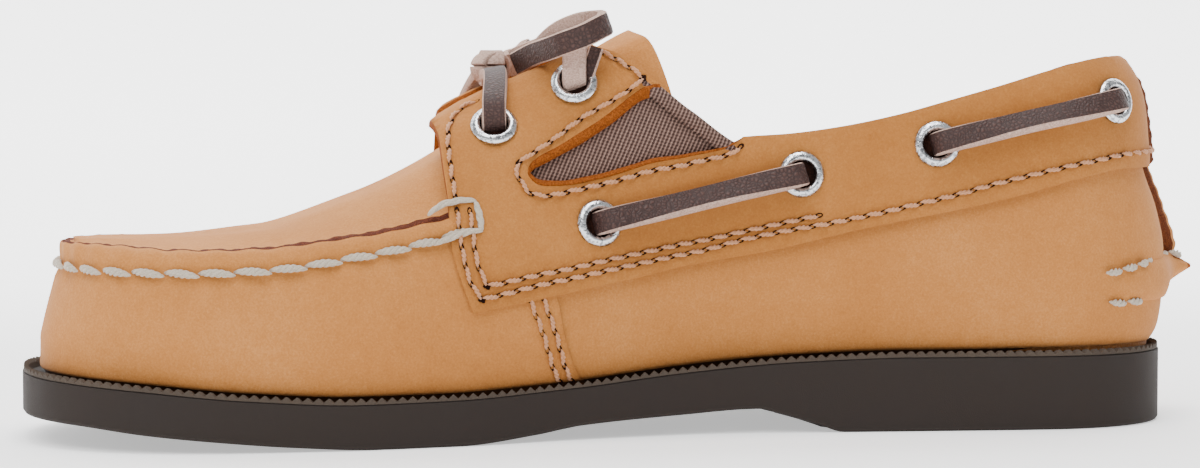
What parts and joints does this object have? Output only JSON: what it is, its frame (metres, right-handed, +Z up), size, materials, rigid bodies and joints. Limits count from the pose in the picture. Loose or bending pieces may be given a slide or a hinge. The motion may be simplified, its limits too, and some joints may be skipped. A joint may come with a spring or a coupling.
{
  "type": "boat shoe",
  "caption": "Low leather boat shoe with a raised apron seam, side laces through ring eyelets, an elastic gore and a flat moulded rubber sole.",
  "frame": {"origin": "on the floor under the middle of the heel's flat", "axes": "+X to the toe along the sole, +Y to the medial side, +Z up"},
  "size_m": [0.2265, 0.0822, 0.0791],
  "materials": {
    "rubber": "matt moulded",
    "leather": "brushed nubuck",
    "facing": "brushed nubuck",
    "lining": "smooth",
    "elastic": "ribbed",
    "metal": "polished",
    "lace": "smooth face, pale cut edges"
  },
  "bodies": {
    "root": {"outsole": "rubber", "upper": "leather", "insole": "lining", "tongue": "leather", "saddle_medial": "facing", "saddle_lateral": "facing", "gore_medial": "elastic", "gore_lateral": "elastic", "heel_kicker": "leather", "eyelet_medial_throat_front": "metal", "eyelet_medial_throat_rear": "metal", "eyelet_medial_strap_front": "metal", "eyelet_medial_strap_middle": "metal", "eyelet_medial_strap_back": "metal", "eyelet_medial_collar_back": "metal", "eyelet_lateral_throat_front": "metal", "eyelet_lateral_throat_rear": "metal", "eyelet_lateral_strap_front": "metal", "eyelet_lateral_strap_middle": "metal", "eyelet_lateral_strap_back": "metal", "eyelet_lateral_collar_back": "metal", "side_lace_medial_front": "lace", "side_lace_medial_back": "lace", "side_lace_lateral_front": "lace", "side_lace_lateral_back": "lace", "throat_lace_front": "lace", "throat_lace_rear": "lace", "bow_knot": "lace", "bow_loop_near": "lace", "bow_loop_far": "lace"}
  },
  "joints": []
}
